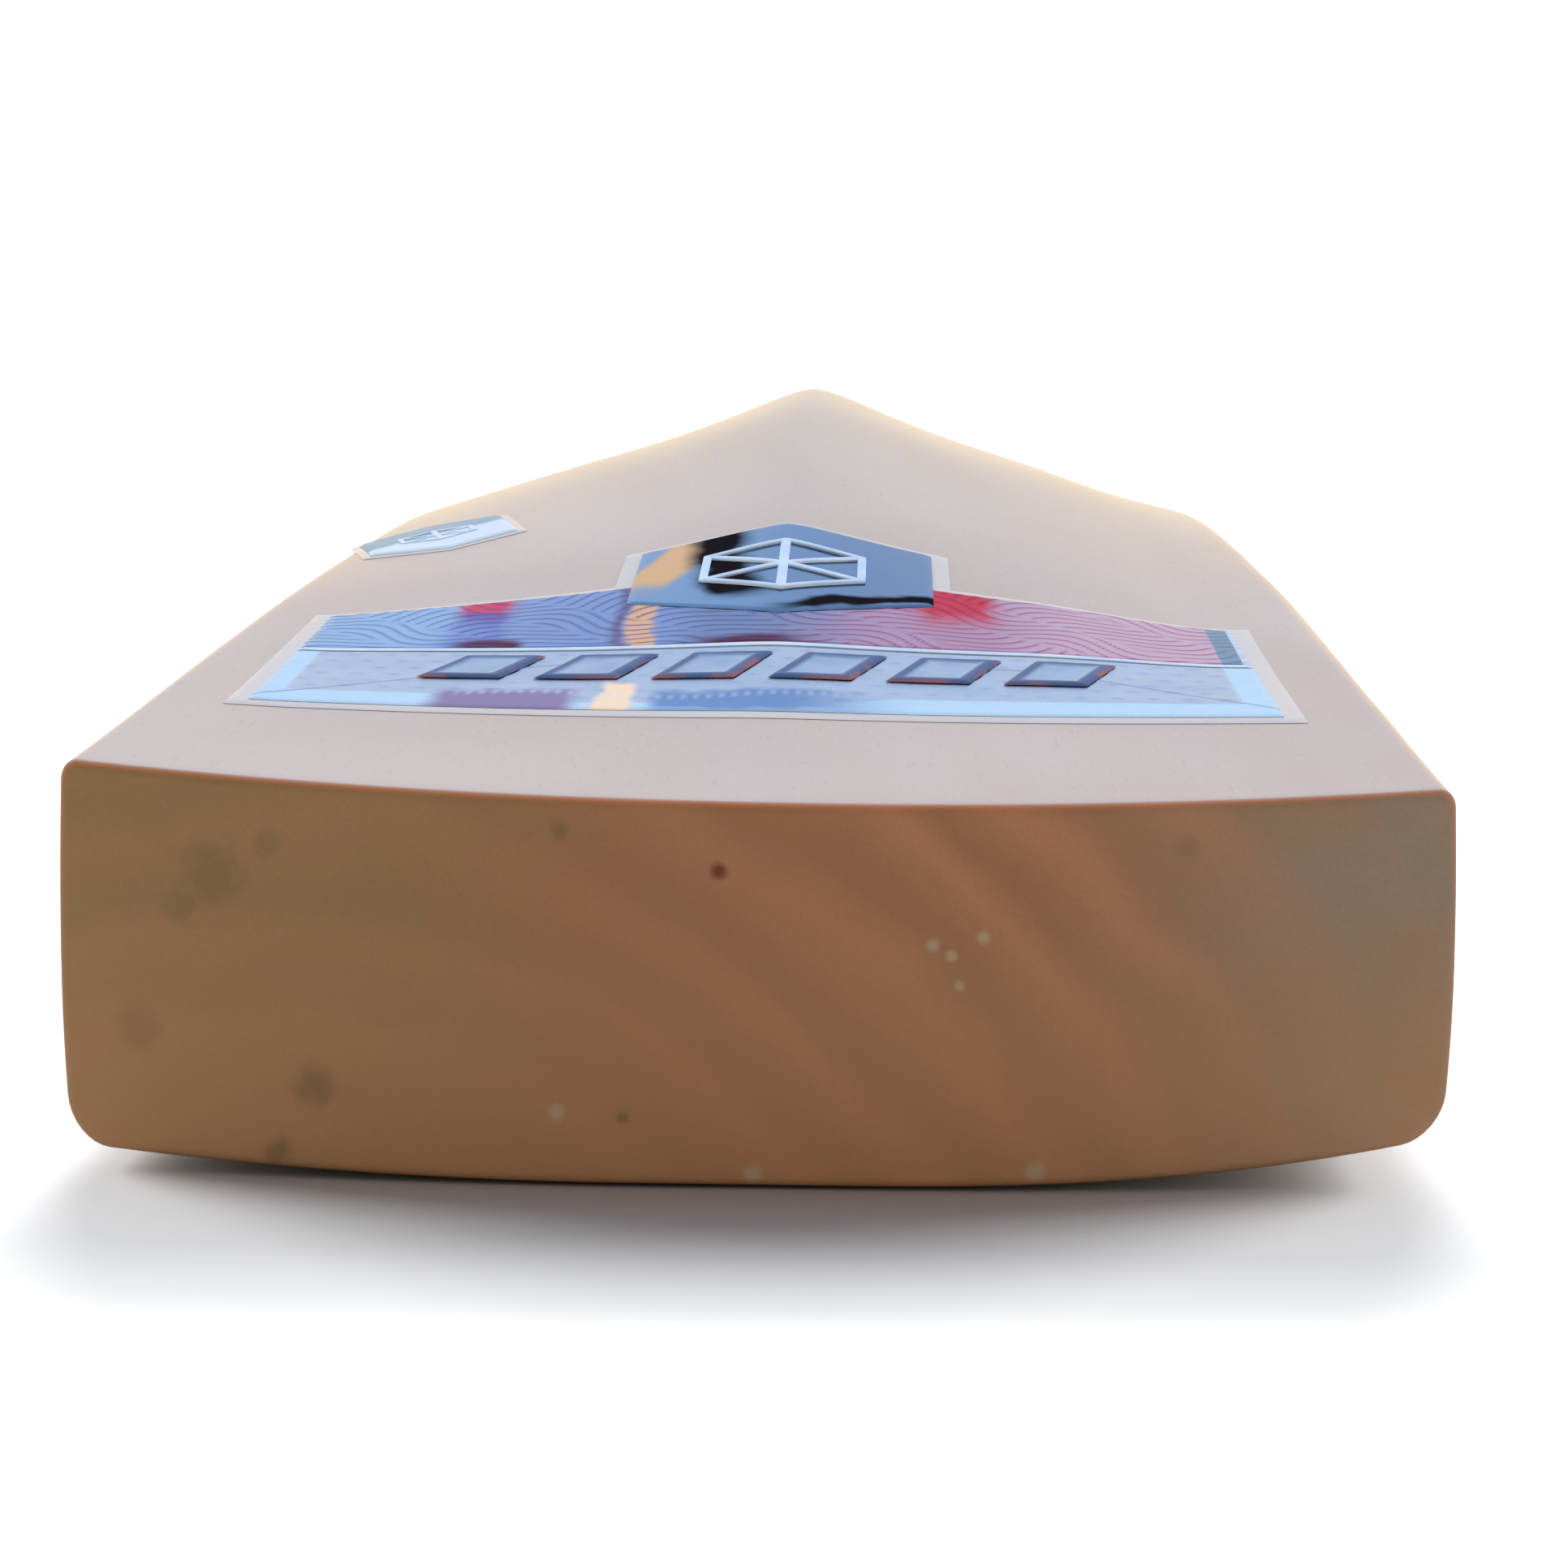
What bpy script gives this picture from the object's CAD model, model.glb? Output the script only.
"""A cricket bat lying on its playing face, seen from the toe: fine surfaces, finishes, light and camera.

Shapes are worked out in millimetres. X runs across the blade, Z up from the table, and a station is a
distance along the bat, measured from the foremost point of the toe. place() turns them into metres in the
frame's own axes.
"""

import bmesh
import bpy
import numpy as np
from mathutils import Matrix, Vector


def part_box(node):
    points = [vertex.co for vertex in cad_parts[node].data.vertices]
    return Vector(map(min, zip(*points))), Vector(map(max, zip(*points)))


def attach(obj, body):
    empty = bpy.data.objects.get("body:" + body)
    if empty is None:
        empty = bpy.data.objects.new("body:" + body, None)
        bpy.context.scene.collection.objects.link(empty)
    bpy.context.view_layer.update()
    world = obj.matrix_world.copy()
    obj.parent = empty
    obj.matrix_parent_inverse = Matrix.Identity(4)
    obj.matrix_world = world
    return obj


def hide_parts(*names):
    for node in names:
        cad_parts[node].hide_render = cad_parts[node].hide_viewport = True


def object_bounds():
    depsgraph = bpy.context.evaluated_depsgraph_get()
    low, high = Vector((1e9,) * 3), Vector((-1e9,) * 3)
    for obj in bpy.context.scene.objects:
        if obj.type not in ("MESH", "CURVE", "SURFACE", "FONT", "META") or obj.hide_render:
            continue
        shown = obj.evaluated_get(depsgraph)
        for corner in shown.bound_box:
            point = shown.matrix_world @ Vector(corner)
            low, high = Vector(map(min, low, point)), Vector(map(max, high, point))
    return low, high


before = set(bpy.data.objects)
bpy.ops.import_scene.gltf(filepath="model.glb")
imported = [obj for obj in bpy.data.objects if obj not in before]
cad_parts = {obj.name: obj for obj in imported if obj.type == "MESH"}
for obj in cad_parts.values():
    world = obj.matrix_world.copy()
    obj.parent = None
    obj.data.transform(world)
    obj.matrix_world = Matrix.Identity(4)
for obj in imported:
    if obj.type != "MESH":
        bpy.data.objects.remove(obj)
cad_low, cad_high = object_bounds()

# ---- Sizes taken from the frame, in millimetres ----
MM = 0.001
blade_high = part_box("blade")[1]
TOE = cad_low.y / MM
TOTAL_LENGTH = cad_high.y / MM - TOE
BLADE_LENGTH = blade_high.y / MM - TOE
HALF_WIDTH = blade_high.x / MM

# ---- The blade's form, as the frame has it ----
TOE_EDGE_HEIGHT = 31
MID_EDGE_HEIGHT, MID_EDGE_STATION = 40.6, 115
SWELL_EDGE_HEIGHT, SWELL_EDGE_STATION = 44, 185
SHOULDER_EDGE_HEIGHT = 20
SPINE_RISE, SPINE_STATION = 20.85, 260
SPINE_CREST_RADIUS = 2.7
FLANK_HOLLOW = 0.03
TOE_HOLLOW, TOE_HOLLOW_START, TOE_HOLLOW_FADE = 1.7, 40, 80
FACE_CAMBER, FACE_FLAT_HALF, FACE_BOW = 2.2, 10, 3
TOE_REST_LENGTH, SHOULDER_REST_LENGTH = 40, 32
TOE_BULGE, TOE_FLAT_HALF, TOE_BULGE_FADE = 5.1, 8, 60
TOE_EDGE_RADIUS = 0.8
TOE_CORNER_RADIUS, SWELL_CORNER_RADIUS, NECK_CORNER_RADIUS = 1.4, 4.5, 9
FACE_CORNER_RADIUS = 3.4
SIDE_TUCK_BACK, SIDE_TUCK_FACE = 0.006, 0.012
SHOULDER_LENGTH, SHOULDER_SHAPE = 78, 1.7

# ---- Hand shaping that the frame leaves out: at the toe the left edge is thicker than the right ----
HAND_FADE = 70
BACK_LEAN = 0.65
LEFT_FACE_DROP, RIGHT_FACE_RISE = 0.6, 1.3
LEFT_NARROWING, NARROWING_FADE = 0.62, 150
LEFT_SWELL, LEFT_SWELL_LENGTH = 0.45, 60
RIGHT_SWELL, RIGHT_SWELL_START, RIGHT_SWELL_LENGTH = 1.35, 40, 85
RIGHT_HOLLOW, RIGHT_HOLLOW_START, RIGHT_HOLLOW_LENGTH = 0.75, 28, 35
SHAPING_FADE_START, SHAPING_FADE = 250, 150

# ---- The handle, as the frame has it ----
HANDLE_WIDTH, HANDLE_DEPTH = 29.6, 31.6
SPLICE_LENGTH, SPLICE_TIP_WIDTH, SPLICE_SPREAD, SPLICE_GAP = 130, 3, 0.5, 0.3
EAR_WIDTH, NECK_BLEND = 2.7, 12
SPRING_THICKNESS, GLUE_LINE, MIDDLE_ROW_DEPTH = 1.2, 0.1, 10.6
BINDING_WALL, GRIP_WALL, GRIP_BAND_WALL, GRIP_BAND_LENGTH = 0.9, 2.2, 0.9, 11
BINDING_START, BINDING_END_GAP, GRIP_START, GRIP_END_GAP = 14, 2, 26, 0.5
SLAB_COUNT = 4
TWINE_PITCH, TWINE_DEPTH = 1.1, 0.42
GRIP_CHEVRONS, GRIP_CHEVRON_RISE, GRIP_RIB_PITCH = 8, 4.5, 5.2
GRIP_RIB_DEPTH, GRIP_GROOVE_DEPTH, GRIP_GROOVE_PITCH, GRIP_LIP = 0.5, 0.3, 2.6, 1.3
SLEEVE_CLEARANCE = 0.1
grip_low, grip_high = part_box("grip")
HANDLE_AXIS_HEIGHT = (grip_low.z + grip_high.z) / 2 / MM
SPLICE_START = BLADE_LENGTH - SPLICE_LENGTH
SPLICE_HALF = HANDLE_WIDTH / 2 + SPLICE_SPREAD
NECK_HALF = SPLICE_HALF + SPLICE_GAP + EAR_WIDTH
SHOULDER_SPINE_HEIGHT = HANDLE_AXIS_HEIGHT + HANDLE_DEPTH / 2 + 1.6

# ---- The decals ----
LABEL_HALF, LABEL_START = 44, 33
LOWER_PANEL_HEIGHT, DIVIDER_WIDTH = 23.6, 1.2
UPPER_END_HEIGHT, UPPER_RISE = 17.2, 7
FILM_BORDER = 1.8
BADGE_HALF_WIDTH, BADGE_HEIGHT, BADGE_CORNER_RISE = 15, 35, 6.6
BADGE_ABOVE_DIVIDER = 10.2
EMBLEM_RADIUS, EMBLEM_LINE = 9.6, 1
BAR_COUNT, BAR_HEIGHT, BAR_BELOW_DIVIDER = 6, 9.2, 2.8
BAR_WIDTH, BAR_LEAN, BAR_PITCH = 7.4, 3.2, 10.4
SIDE_BADGE_X, SIDE_BADGE_STATION = -41, 128.5
SIDE_BADGE_HALF_WIDTH, SIDE_BADGE_HALF_HEIGHT, SIDE_BADGE_CORNER_RISE = 8.2, 12.8, 5
SIDE_BADGE_TURN = 14
SIDE_EMBLEM_RADIUS, SIDE_EMBLEM_LINE = 5, 0.7
FILM_LIFT, FILM_THICKNESS = 0.02, 0.16
FOIL_LIFT, FOIL_THICKNESS = 0.2, 0.14
RAISED_LIFT = 0.36
PRINT_RELIEF, RIM_FALL = 0.02, 0.8
BAR_RIM_RISE, BAR_FACE_SINK, BAR_THICKNESS = 0.16, 0.1, 0.06
EMBLEM_RISE, SIDE_EMBLEM_RISE = 0.3, 0.09
DIVIDER_STATION = LABEL_START + LOWER_PANEL_HEIGHT
UPPER_START = DIVIDER_STATION + DIVIDER_WIDTH
BADGE_BOTTOM = UPPER_START + BADGE_ABOVE_DIVIDER
BADGE_CENTRE = BADGE_BOTTOM + BADGE_HEIGHT / 2
BADGE_FILM_HALF = BADGE_HALF_WIDTH + FILM_BORDER
BADGE_TOP_LIFT = RAISED_LIFT + FOIL_THICKNESS + 0.04
SEAM = 0.1
DASH_PITCH, DASH_ROW_PITCH, TICK_PITCH = 3.2, 2.9, 1.1
WAVE_SPACING, WAVE_LINE_HALF = 2.3, 0.5


# ---- Small maths ----
def mix(a, b, t):
    """a at t = 0 and b at t = 1, in a straight line between."""
    return a + (b - a) * t


def smooth(t):
    """0 below t = 0, 1 above t = 1, and 3t^2 - 2t^3 between."""
    t = np.clip(t, 0, 1)
    return t * t * (3 - 2 * t)


def bump(distance, half_width):
    """A smooth ridge: 1 on the line, 0 from half_width away on."""
    return smooth(1 - np.abs(distance) / half_width)


def profile(points):
    """A smooth line through (station, value) points that never overshoots them: a monotone cubic, whose
    slope at a point is the harmonic mean of the chords beside it, or nothing where they turn back."""
    knots, values = np.array(points, float).T
    chord = np.diff(values) / np.diff(knots)
    product = chord[:-1] * chord[1:]
    total = np.where(product > 0, chord[:-1] + chord[1:], 1)
    slope = np.concatenate([chord[:1], np.where(product > 0, 2 * product / total, 0), chord[-1:]])

    def value(s):
        s = np.clip(s, knots[0], knots[-1])
        i = np.clip(np.searchsorted(knots, s, side="right") - 1, 0, len(chord) - 1)
        span = knots[i + 1] - knots[i]
        t = (s - knots[i]) / span
        bend = span * t * (1 - t) * (slope[i] * (1 - t) - slope[i + 1] * t)
        return mix(values[i], values[i + 1], smooth(t)) + bend

    return value


def runs(*stretches):
    """Places along a line, from (from, to, count) stretches."""
    return np.concatenate([np.linspace(*stretch) for stretch in stretches])


def towards_shoulder(share):
    return mix(SWELL_EDGE_STATION, BLADE_LENGTH, share)


def past_spine(share):
    return mix(SPINE_STATION, BLADE_LENGTH, share)


# ---- The blade's form ----
edge_height = profile(
    [
        (0, TOE_EDGE_HEIGHT),
        (MID_EDGE_STATION, MID_EDGE_HEIGHT),
        (SWELL_EDGE_STATION, SWELL_EDGE_HEIGHT),
        (towards_shoulder(0.385), mix(SHOULDER_EDGE_HEIGHT, SWELL_EDGE_HEIGHT, 0.69)),
        (towards_shoulder(0.65), mix(SHOULDER_EDGE_HEIGHT, SWELL_EDGE_HEIGHT, 0.44)),
        (BLADE_LENGTH, SHOULDER_EDGE_HEIGHT),
    ]
)
CREST_HEIGHT = float(edge_height(SPINE_STATION)) + SPINE_RISE
upper_spine = profile(
    [
        (SPINE_STATION, CREST_HEIGHT),
        (past_spine(0.23), mix(SHOULDER_SPINE_HEIGHT, CREST_HEIGHT, 0.78)),
        (past_spine(0.56), mix(SHOULDER_SPINE_HEIGHT, CREST_HEIGHT, 0.46)),
        (BLADE_LENGTH, SHOULDER_SPINE_HEIGHT),
    ]
)
face_bow = profile(
    [
        (0, 0),
        (TOE_REST_LENGTH, 0),
        (BLADE_LENGTH / 2, FACE_BOW),
        (BLADE_LENGTH - SHOULDER_REST_LENGTH, 0),
        (BLADE_LENGTH, 0),
    ]
)
back_corner_radius = profile(
    [
        (0, TOE_CORNER_RADIUS),
        (SWELL_EDGE_STATION, SWELL_CORNER_RADIUS),
        (BLADE_LENGTH - SHOULDER_LENGTH, SWELL_CORNER_RADIUS),
        (BLADE_LENGTH, NECK_CORNER_RADIUS),
    ]
)


def spine_height(s):
    """The ridge's line: it climbs from the toe as a smooth step, then falls from its crest."""
    rising = edge_height(s) + SPINE_RISE * smooth(s / SPINE_STATION)
    return np.where(s < SPINE_STATION, rising, upper_spine(s))


def plan_half(s):
    """Half the width: straight sides, then shoulders that sweep in along a stretched cosine."""
    t = np.clip((s - BLADE_LENGTH + SHOULDER_LENGTH) / SHOULDER_LENGTH, 0, 1)
    return mix(NECK_HALF, HALF_WIDTH, (1 + np.cos(np.pi * t**SHOULDER_SHAPE)) / 2)


def hand_shaping(x, s):
    """What hand work adds to the back: both edges stand up a little past the toe, the right one more, with
    a smooth hollow in the flank beside it."""
    out = np.abs(x) / HALF_WIDTH
    left = LEFT_SWELL * smooth(s / LEFT_SWELL_LENGTH)
    right = RIGHT_SWELL * smooth((s - RIGHT_SWELL_START) / RIGHT_SWELL_LENGTH)
    hollow = RIGHT_HOLLOW * smooth((s - RIGHT_HOLLOW_START) / RIGHT_HOLLOW_LENGTH) * (x > 0)
    hollow = hollow * mix(1, 0.4, smooth((s - 100) / 120))
    shaped = np.where(x < 0, left, right) * smooth((out - 0.72) / 0.28) - hollow * bump(out - 0.78, 0.36)
    return shaped * (1 - smooth((s - SHAPING_FADE_START) / SHAPING_FADE))


def back_height(x, s):
    """The back: from ridge to edge as a rounded slope, sqrt(u^2 + crest^2), less a sine that hollows the
    flank and a shallow scoop at the toe."""
    crest = SPINE_CREST_RADIUS / HALF_WIDTH
    u = np.abs(x) / HALF_WIDTH
    out = (np.hypot(u, crest) - crest) / (np.hypot(1, crest) - crest)
    flank = 1 - out - FLANK_HOLLOW * np.sin(2 * np.pi * out)
    scoop = TOE_HOLLOW * (1 - smooth((s - TOE_HOLLOW_START) / TOE_HOLLOW_FADE)) * (1 - u * u)
    lean = BACK_LEAN * x / HALF_WIDTH * (1 - smooth(s / HAND_FADE))
    return edge_height(s) + (spine_height(s) - edge_height(s)) * flank - scoop - lean + hand_shaping(x, s)


def face_height(x, s):
    """The face: flat along its middle, turning up to its edges as a parabola, bowed along its length. Near
    the toe a cube of the same distance is taken off on the left and added on the right."""
    out = np.clip(np.abs(x) - FACE_FLAT_HALF, 0, None) / (HALF_WIDTH - FACE_FLAT_HALF)
    hand = np.where(x < 0, -LEFT_FACE_DROP * out**2, RIGHT_FACE_RISE * out**3)
    return FACE_CAMBER * out**2 + hand * (1 - smooth(s / HAND_FADE)) + face_bow(s)


def toe_curve(x):
    """How far the toe's outline stands behind its foremost line: nothing in the middle, then a parabola."""
    out = np.clip(np.abs(x) - TOE_FLAT_HALF, 0, None) / (HALF_WIDTH - TOE_FLAT_HALF)
    return TOE_BULGE * out**2


def along(x, s):
    """The distance from the toe's foremost line to station s, where the toe's curve is still felt."""
    return s + toe_curve(x) * np.clip(1 - s / TOE_BULGE_FADE, 0, 1)


def station(x, y):
    """The station of a point y behind the toe's foremost line: along() turned round."""
    curve = toe_curve(x)
    return np.where(y < TOE_BULGE_FADE, (y - curve) / (1 - curve / TOE_BULGE_FADE), y)


def back_at(x, y):
    """The back's height at a point given across and along the bat."""
    return back_height(x, station(x, y))


def place(x, y, z):
    """Points in metres in the frame's axes, from millimetres across, along and up."""
    return np.stack(np.broadcast_arrays(x, y + TOE, z), axis=-1) * MM


# ---- Meshes ----
BLADE_CREASE, DECAL_CREASE, CANE_CREASE, SLEEVE_CREASE = 40, 30, 35, 50  # degrees
MERGE_DISTANCE, SHORTEST_EDGE = 1.5e-6, 5e-7  # metres


def grid_quads(rows, columns, first):
    """The quads of a grid whose points are numbered row by row from first."""
    corner = first + np.arange(rows - 1)[:, None] * columns + np.arange(columns - 1)[None, :]
    corner = corner.ravel()
    return np.stack([corner, corner + 1, corner + 1 + columns, corner + columns], axis=1)


def make_piece(name, sheets, node_name, material, sharp_degrees, attributes=None):
    """One closed mesh from grids of points that meet along their edges: their shared points are merged and
    the faces turned outwards. attributes gives named values worked out from every point's place across
    and along the bat in millimetres."""
    points, quads, count = [], [], 0
    for sheet in sheets:
        rows, columns = sheet.shape[:2]
        quads.append(grid_quads(rows, columns, count))
        points.append(sheet.reshape(-1, 3))
        count += rows * columns
    points, quads = np.concatenate(points), np.concatenate(quads)
    raw = bpy.data.meshes.new(name)
    raw.from_pydata(points, [], quads.tolist())
    work = bmesh.new()
    work.from_mesh(raw)
    bmesh.ops.remove_doubles(work, verts=work.verts, dist=MERGE_DISTANCE)
    bmesh.ops.dissolve_degenerate(work, edges=work.edges, dist=SHORTEST_EDGE)
    bmesh.ops.recalc_face_normals(work, faces=work.faces)
    work.to_mesh(raw)
    work.free()
    if attributes:
        place_of = np.empty(len(raw.vertices) * 3, np.float32)
        raw.vertices.foreach_get("co", place_of)
        x, y = (place_of.reshape(-1, 3)[:, :2] / MM).T
        for key, value in attributes.items():
            layer = raw.attributes.new(key, "FLOAT", "POINT")
            layer.data.foreach_set("value", np.ascontiguousarray(value(x, y - TOE), np.float32))
    raw.polygons.foreach_set("use_smooth", np.ones(len(raw.polygons), bool))
    raw.set_sharp_from_angle(angle=np.radians(sharp_degrees))
    raw.materials.append(material)
    piece = bpy.data.objects.new(name, raw)
    bpy.context.scene.collection.objects.link(piece)
    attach(piece, "root")
    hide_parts(node_name)


def cap(ring, steps):
    """Rings that shrink from an outline to its middle."""
    middle = ring.mean(axis=0)
    return mix(ring[None], middle[None, None], np.linspace(0, 1, steps)[:, None, None])


# ---- Material nodes ----
class Nodes:
    """Short words for building a node tree: add() gives the new node, feed() sets or links a socket, and
    the others add nodes and give their output."""

    def __init__(self, tree):
        self.tree = tree

    def add(self, kind, **settings):
        node = self.tree.nodes.new(kind)
        for key, value in settings.items():
            setattr(node, key, value)
        return node

    def feed(self, socket, value):
        """A link where value is another node's output, and otherwise a number or colour on the socket."""
        if isinstance(value, bpy.types.NodeSocket):
            self.tree.links.new(value, socket)
        elif value is not None:
            socket.default_value = value

    def math(self, operation, a, b=None, c=None, clamp=False):
        node = self.add("ShaderNodeMath", operation=operation, use_clamp=clamp)
        for socket, value in zip(node.inputs, (a, b, c)):
            self.feed(socket, value)
        return node.outputs[0]

    def times(self, a, b):
        """a times b."""
        return self.math("MULTIPLY", a, b)

    def scaled(self, value, factor, offset, clamp=False):
        """value times factor, plus offset."""
        return self.math("MULTIPLY_ADD", value, factor, offset, clamp)

    def most(self, value, *others):
        """The largest of several values."""
        for other in others:
            value = self.math("MAXIMUM", value, other)
        return value

    def step(self, value, low, high, to_low=0.0, to_high=1.0):
        node = self.add("ShaderNodeMapRange", interpolation_type="SMOOTHSTEP")
        for socket, amount in zip(node.inputs, (value, low, high, to_low, to_high)):
            self.feed(socket, amount)
        return node.outputs[0]

    def blend(self, factor, a, b):
        node = self.add("ShaderNodeMix", data_type="RGBA")
        self.feed(node.inputs["Factor"], factor)
        colours = [socket for socket in node.inputs if socket.type == "RGBA"]
        for socket, colour in zip(colours, (a, b)):
            self.feed(socket, colour if isinstance(colour, bpy.types.NodeSocket) else rgba(colour))
        return next(socket for socket in node.outputs if socket.type == "RGBA")

    def noise(self, vector, scale, detail, roughness=0.5):
        node = self.add("ShaderNodeTexNoise")
        self.feed(node.inputs["Vector"], vector)
        node.inputs["Scale"].default_value = scale
        node.inputs["Detail"].default_value = detail
        node.inputs["Roughness"].default_value = roughness
        return node.outputs["Fac"]

    def wobble(self, vector, scale):
        """Noise that goes as far below 0 as above."""
        return self.math("SUBTRACT", self.noise(vector, scale, 2.0), 0.5)

    def clouds(self, vector, scale, detail=2.0):
        """Noise spread over the whole range from 0 to 1."""
        return self.step(self.noise(vector, scale, detail), 0.3, 0.7)

    def mapping(self, vector, location=(0, 0, 0), scale=(1, 1, 1), rotation=(0, 0, 0)):
        node = self.add("ShaderNodeMapping")
        self.feed(node.inputs["Vector"], vector)
        node.inputs["Location"].default_value = location
        node.inputs["Rotation"].default_value = rotation
        node.inputs["Scale"].default_value = scale
        return node.outputs[0]

    def axes(self, vector):
        node = self.add("ShaderNodeSeparateXYZ")
        self.feed(node.inputs[0], vector)
        return node.outputs

    def attribute(self, name):
        return self.add("ShaderNodeAttribute", attribute_name=name).outputs["Fac"]

    def position(self):
        return self.add("ShaderNodeTexCoord").outputs["Object"]

    def ramp(self, factor, stops):
        node = self.add("ShaderNodeValToRGB")
        elements = node.color_ramp.elements
        while len(elements) < len(stops):
            elements.new(0.5)
        for element, (at, colour) in zip(elements, stops):
            element.position = at
            element.color = rgba(colour)
        self.feed(node.inputs[0], factor)
        return node.outputs[0]

    def bump(self, height, distance, strength):
        node = self.add("ShaderNodeBump")
        node.inputs["Strength"].default_value = strength
        node.inputs["Distance"].default_value = distance
        self.feed(node.inputs["Height"], height)
        return node.outputs[0]

    def use(self, group, **values):
        node = self.add("ShaderNodeGroup", node_tree=group)
        for key, value in values.items():
            self.feed(node.inputs[key.replace("_", " ").capitalize()], value)
        return node.outputs


def rgba(colour):
    """A colour as four numbers, from three in scene light or from a whole list."""
    return (*colour, 1.0) if len(colour) == 3 else tuple(colour)


def srgb(red, green, blue):
    """A colour in scene light from the 0 to 255 values that a paint chart gives."""
    values = np.array([red, green, blue]) / 255
    light = np.where(values <= 0.04045, values / 12.92, ((values + 0.055) / 1.055) ** 2.4)
    return tuple(float(v) for v in light)


def new_material(name, **shader_values):
    """A material with its Principled BSDF, whose constant values are set on its own sockets."""
    material = bpy.data.materials.new(name)
    material.use_nodes = True
    shader = material.node_tree.nodes["Principled BSDF"]
    for key, value in shader_values.items():
        shader.inputs[key.replace("_", " ").title()].default_value = value
    return Nodes(material.node_tree), shader, material


def finish(n, shader, colour, roughness, height, depth, strength=0.7):
    """Feeds a shader its varying colour and roughness, and a relief of some depth in metres."""
    n.feed(shader.inputs["Base Color"], colour)
    n.feed(shader.inputs["Roughness"], roughness)
    n.feed(shader.inputs["Normal"], n.bump(height, depth, strength))


def new_group(name, inputs, outputs):
    """An empty shader node group with float, vector or colour sockets, given as name: kind."""
    group = bpy.data.node_groups.new(name, "ShaderNodeTree")
    kinds = {"value": "NodeSocketFloat", "vector": "NodeSocketVector", "colour": "NodeSocketColor"}
    for key, kind in inputs.items():
        group.interface.new_socket(key, in_out="INPUT", socket_type=kinds[kind])
    for key, kind in outputs.items():
        group.interface.new_socket(key, in_out="OUTPUT", socket_type=kinds[kind])
    nodes = Nodes(group)
    return group, nodes, nodes.add("NodeGroupInput").outputs, nodes.add("NodeGroupOutput").inputs


def make_fibre_group():
    """Wood fibres: noise drawn out along the bat, once fine and once broad, and pores between them."""
    group, n, given, out = new_group(
        "wood_fibres",
        {"Position": "vector", "Fineness": "value"},
        {"Fibre": "value", "Streak": "value", "Pore": "value"},
    )
    scaled = n.add("ShaderNodeVectorMath", operation="SCALE")
    n.feed(scaled.inputs[0], given["Position"])
    n.feed(scaled.inputs["Scale"], given["Fineness"])
    fine = n.mapping(scaled.outputs[0], scale=(1, 0.035, 1))
    broad = n.mapping(scaled.outputs[0], scale=(0.22, 0.006, 0.22))
    n.feed(out["Fibre"], n.noise(fine, 1.0, 4.0, 0.65))
    n.feed(out["Streak"], n.noise(broad, 1.0, 3.0, 0.55))
    pore = n.noise(n.mapping(scaled.outputs[0], scale=(2.1, 0.16, 2.1)), 1.0, 1.0, 0.5)
    n.feed(out["Pore"], n.step(pore, 0.62, 0.74))
    return group


def from_length_axis(n, position):
    """The distance of a position from the line that runs along the bat through its own origin."""
    x, _, z = n.axes(position)
    return n.math("SQRT", n.math("ADD", n.times(x, x), n.times(z, z)))


def make_ring_group():
    """Growth rings: distance from the tree's heart, which lies along the bat below its left side, bent by
    noise and turned into a band that darkens slowly and ends sharply."""
    group, n, given, out = new_group(
        "growth_rings", {"Position": "vector", "Spacing": "value", "Wander": "value"}, {"Band": "value"}
    )
    far = from_length_axis(n, given["Position"])
    wobble = n.wobble(n.mapping(given["Position"], scale=(1, 0.15, 1)), 60.0)
    bent = n.scaled(wobble, given["Wander"], far)
    turns = n.math("FRACT", n.math("DIVIDE", bent, given["Spacing"]))
    n.feed(out["Band"], n.times(n.step(turns, 0.0, 0.7), n.step(turns, 1.0, 0.6)))
    return group


def make_spot_group():
    """A soft round mark on a plane across the bat: 1 at its centre, 0 from its radius on."""
    group, n, given, out = new_group(
        "spot",
        {"Position": "vector", "Centre": "vector", "Radius": "value", "Wander": "value"},
        {"Mark": "value"},
    )
    away = n.add("ShaderNodeVectorMath", operation="SUBTRACT")
    n.feed(away.inputs[0], given["Position"])
    n.feed(away.inputs[1], given["Centre"])
    far = from_length_axis(n, away.outputs[0])
    wobble = n.wobble(given["Position"], 700.0)
    bent = n.scaled(wobble, given["Wander"], far)
    n.feed(out["Mark"], n.math("SUBTRACT", 1.0, n.step(n.math("DIVIDE", bent, given["Radius"]), 0.2, 1.0)))
    return group


fibres = make_fibre_group()
rings = make_ring_group()
spot = make_spot_group()

# Marks on the sawn toe: (x, z, radius) in millimetres, and a strength from 0 to 1.
GREY_SMUDGES = [
    (-41, 23.3, 3.4, 0.5),
    (-43.5, 20.5, 2.2, 0.35),
    (-36.5, 25.8, 1.8, 0.35),
    (-33, 7, 2.2, 0.55),
    (-35.8, 2, 1.6, 0.6),
    (-47, 11, 2.6, 0.3),
    (-14.1, 27, 1.0, 0.6),
    (-9.3, 5.2, 0.7, 0.6),
    (33, 26, 1.4, 0.35),
]
SPECK_STRENGTH = 0.55
PALE_SPECKS = [
    (14, 18.7, 0.8, SPECK_STRENGTH),
    (17.8, 19.3, 0.75, SPECK_STRENGTH),
    (15.4, 17.9, 0.65, SPECK_STRENGTH),
    (16, 15.6, 0.6, SPECK_STRENGTH),
    (-14.4, 5.5, 1.0, SPECK_STRENGTH),
    (0.6, 1, 1.1, SPECK_STRENGTH),
    (22, 1.4, 1.2, SPECK_STRENGTH),
]
KNOT = [(-2.1, 24.2, 0.95, 1.0)]


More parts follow.
